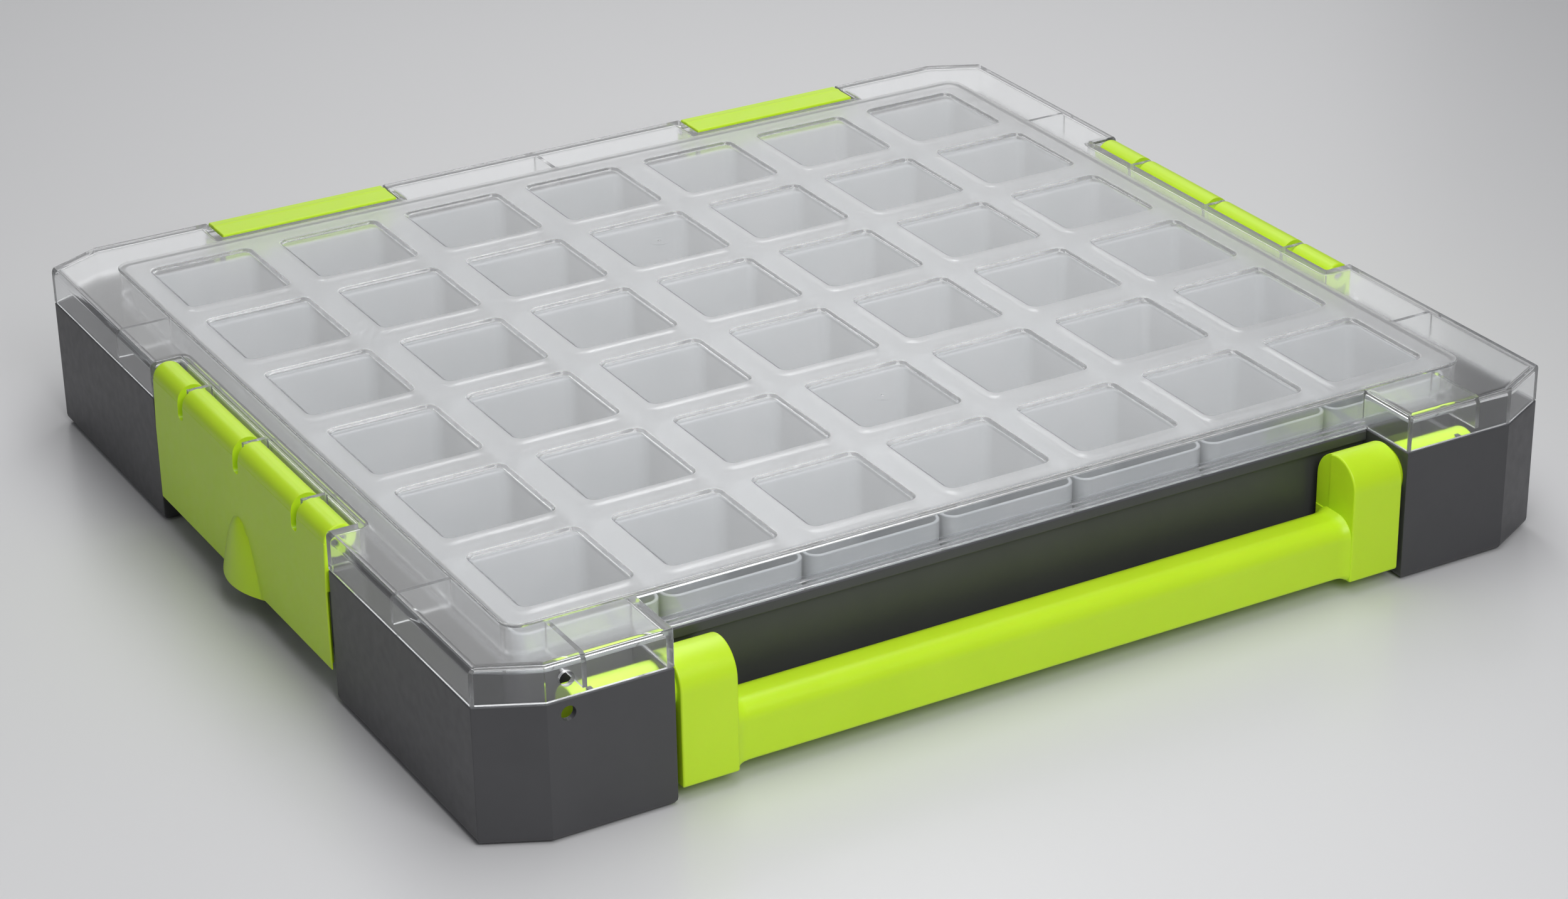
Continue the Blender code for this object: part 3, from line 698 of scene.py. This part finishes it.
# ---------------------------------------------------------------- latches
def finger_tab(sign, half_width, reach, apex, low, face):
    """A bulge of the latch's face: arched in outline, and bowed outwards at every height."""
    rings = []
    levels = 14
    around = 16
    root = 0.0012
    for level in range(levels + 1):
        left = max(1 - level / levels, 0.0005)
        width = half_width * left ** 0.5
        depth = reach * left ** 0.45
        z = apex - (apex - low) * left
        outer = []
        for step in range(around + 1):
            share = 2 * step / around - 1
            outer.append((sign * (face + depth * (1 - share * share)), at(TAB_Y) + width * share, z))
        outer.append((sign * (face - root), at(TAB_Y) + width, z))
        outer.append((sign * (face - root), at(TAB_Y) - width, z))
        rings.append(outer)
    return loft("tab", rings)


def build_latch(side, sign):
    name = "latch_" + side
    face = 0.2003
    skin = 0.0022
    ends = (0.1132, 0.2578)
    low = LATCH_LOW.z
    roll_radius = 0.0054
    latch = rod(roll_radius, "Y", (sign * ROLL[0], ROLL[1]), ends, 2 * SOFT, 10)
    proud = 0.0006
    foot = 0.0008
    section = [
        (face - skin, low, foot), (face + proud, low, foot), (face + proud, 0.0380, 0.0300),
        (face, ROLL[1], CRISP), (face - skin, ROLL[1], CRISP)]
    if sign < 0:
        section = [(-x, z, radius) for x, z, radius in reversed(section)]
    join(latch, stack("skin", section, pill((at(ends[0]), at(ends[1])), EDGE), "Y", 4))
    notch_x, notch_z = (0.190, HALF + GAP), (0.0, 0.0390)
    notch_y = (ends[0] - OVERLAP, ends[0] + 0.0042)
    cut(latch, slab((sign * notch_x[0], sign * notch_x[1]), notch_y, notch_z, CRISP))
    join(latch, slab((sign * CATCH_X[0], sign * CATCH_X[1]), CATCH_Y, CATCH_Z))
    bulge = LATCH_HIGH.x - face
    thickness = 0.0019
    join(latch, finger_tab(sign, 0.0178, bulge, 0.0352, low + CRISP, face))
    cut(latch, finger_tab(sign, 0.0158, bulge - thickness, 0.0318, low - EDGE, face - 0.0004))
    slots = []
    slot_half, slot_z, slot_x = 0.0022, (0.0505, 0.066), (0.188, 0.204)
    for index in (-1, 0, 1):
        y = at(TAB_Y + index * SLOT_PITCH)
        outline = rectangle((y - slot_half, y + slot_half), slot_z, (0.0016, 0.0016, EDGE, EDGE))
        slots.append(stack("slot", outline, [(0.0, sign * x) for x in slot_x], "X", 6))
    cut(latch, gather(slots))
    cut(latch, rod(BORE, "Y", (sign * ROLL[0], ROLL[1]), LATCH_BAY, FLUSH))
    return finish_piece(latch, "latch_plate_" + side, LIME, "lime_plastic", name, name)


# ---------------------------------------------------------------- rear hinges
def build_hinge_cover(side, sign):
    """A cover whose top plate lies in the lid's cut-out and whose skirt grips the tray's rear wall."""
    name = "hinge_clip_" + side
    top = DECK + 0.0001
    skin = 0.0022
    front, rear = at(0.3524), at(DEPTH)
    under = top - 0.0018
    barrel, shelf_front, shelf_top = 0.0043, 0.3590, 0.0504
    section = [
        (front, under, SOFT), (rear - skin, under, 0.0015), (rear - skin, CLIP_LOW.z, EDGE),
        (rear, CLIP_LOW.z, 0.0008), (rear, top, 0.0009), (front, top, 2 * SOFT)]
    span = (sign * HINGE_X[0], sign * HINGE_X[1])
    cover = stack(name, section, pill(span, EDGE), "X", 4)
    join(cover, rod(barrel, "X", HINGE, span, SOFT))
    join(cover, slab(span, (shelf_front, DEPTH - 0.0004), (0.0482, shelf_top)))
    join(cover, slab(span, (shelf_front, SKIRT_RELIEF[0]), (0.0380, shelf_top)))
    cut(cover, hinge_bore(sign))
    return finish_piece(cover, "hinge_cover_" + side, LIME, "lime_plastic", "tray", name)


# ---------------------------------------------------------------- cups
def build_cups():
    """Thin tapered cups with a rounded rim and floor; they share one shape."""
    low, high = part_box("cup_r1_c1")
    half_x, half_y = (high.x - low.x) / 2, (high.y - low.y) / 2
    height = high.z - low.z
    wall, draft, floor = 0.0013, 0.0012, 0.0013
    corner, foot, hollow = 0.0050, 0.0016, 0.0025
    corners = rectangle((-half_x, half_x), (-half_y, half_y), corner)
    profile = [
        *quarter((draft + foot, 0.0), (draft, foot), "inset"),
        *quarter((0.0, height - EDGE), (wall / 2, height), "height", 3),
        *quarter((wall / 2, height), (wall, height - EDGE), "inset", 3)[1:],
        *quarter((wall + draft, floor + hollow), (wall + draft + hollow, floor), "height")]
    for row in range(PANE_COUNT[1]):
        for column in range(PANE_COUNT[0]):
            node = "cup_r%d_c%d" % (row + 1, column + 1)
            low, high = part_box(node)
            cup = stack("cup", corners, profile, steps=5)
            cup.data.transform(Matrix.Translation(((low.x + high.x) / 2, (low.y + high.y) / 2, low.z)))
            finish_piece(cup, "storage_" + node, MILKY, "milky_plastic", "tray", node)


# ---------------------------------------------------------------- studio
CAMERA_YAW = math.radians(29.611)    # the camera looks along +Y, turned this far towards +X
CAMERA_PITCH = math.radians(25.925)  # downwards
CAMERA_ROLL = math.radians(-0.965)
CAMERA_PLACE = (-0.589325, -1.04631, 0.592077)
CAMERA_LENS = 86.17                  # millimetres, on a sensor 36 mm wide
FLOOR_HALF = 6.0
FLOOR_DROP = 0.0002                  # the floor lies this far under the tray


def floor_material():
    material, tree, shader = new_material("studio_floor")
    drift = noise(tree, 3.0, 3.0)
    tree.links.new(blend_colours(tree, drift, (0.71, 0.71, 0.72), (0.73, 0.73, 0.74)),
                   shader.inputs["Base Color"])
    tree.links.new(spread(tree, drift, 0.27, 0.29, 0.0, 1.0), shader.inputs["Roughness"])
    shader.inputs["Specular IOR Level"].default_value = 0.35
    return material


def add_floor():
    shape = bmesh.new()
    bmesh.ops.create_grid(shape, x_segments=8, y_segments=8, size=FLOOR_HALF)
    mesh = bpy.data.meshes.new("studio_floor")
    shape.to_mesh(mesh)
    shape.free()
    floor = add_object("studio_floor", mesh)
    floor.location.z = -FLOOR_DROP
    floor.data.materials.append(floor_material())


def area_light(name, place, target, size, power):
    """A white rectangular lamp that faces a target; power is in watts."""
    light = bpy.data.lights.new(name, "AREA")
    light.shape = "RECTANGLE"
    light.size, light.size_y = size
    light.energy = power
    item = bpy.data.objects.new(name, light)
    bpy.context.scene.collection.objects.link(item)
    item.location = place
    direction = Vector(target) - Vector(place)
    item.rotation_euler = direction.to_track_quat("-Z", "Y").to_euler()
    return item


def add_lights():
    world = bpy.data.worlds.new("studio")
    bpy.context.scene.world = world
    world.use_nodes = True
    background = world.node_tree.nodes["Background"]
    background.inputs["Color"].default_value = (0.86, 0.87, 0.90, 1.0)
    background.inputs["Strength"].default_value = 0.20
    strip = area_light("overhead_strip", (0.04, -0.02, 0.70), (0.04, -0.02, 0.0), (0.26, 1.50), 3.9)
    strip.rotation_euler.z = -CAMERA_YAW
    area_light("backdrop_panel", (0.80, 1.90, 1.05), (0.0, 0.0, 0.1), (1.80, 1.30), 6.5)
    area_light("front_softbox", (-0.14, -0.95, 0.70), (-0.04, -0.20, 0.0), (0.50, 0.40), 4.0)
    area_light("rear_lamp", (-0.08, 1.20, 1.00), (0.0, 0.0, 0.0), (0.22, 0.16), 0.6)


def add_camera():
    yaw, pitch, roll = CAMERA_YAW, CAMERA_PITCH, CAMERA_ROLL
    forward = Vector((math.sin(yaw) * math.cos(pitch), math.cos(yaw) * math.cos(pitch), -math.sin(pitch)))
    level_right = forward.cross(Vector((0.0, 0.0, 1.0))).normalized()
    level_up = level_right.cross(forward)
    right = level_right * math.cos(roll) + level_up * math.sin(roll)
    up = level_up * math.cos(roll) - level_right * math.sin(roll)
    data = bpy.data.cameras.new("camera")
    data.sensor_width = 36.0
    data.lens = CAMERA_LENS
    camera = bpy.data.objects.new("camera", data)
    bpy.context.scene.collection.objects.link(camera)
    axes = Matrix((right, up, -forward)).transposed().to_4x4()
    camera.matrix_world = Matrix.Translation(CAMERA_PLACE) @ axes
    bpy.context.scene.camera = camera


build_tray()
build_lid()
build_handle()
for SIDE, SIGN in SIDES:
    build_latch(SIDE, SIGN)
    build_hinge_cover(SIDE, SIGN)
build_cups()
for NODE in ("latch_pin_left", "latch_pin_right", "hinge_pin_left", "hinge_pin_right"):
    frame["nodes"][NODE].data.materials.clear()
    frame["nodes"][NODE].data.materials.append(STEEL)

add_floor()
add_lights()
add_camera()
bpy.context.scene.view_settings.view_transform = "Standard"
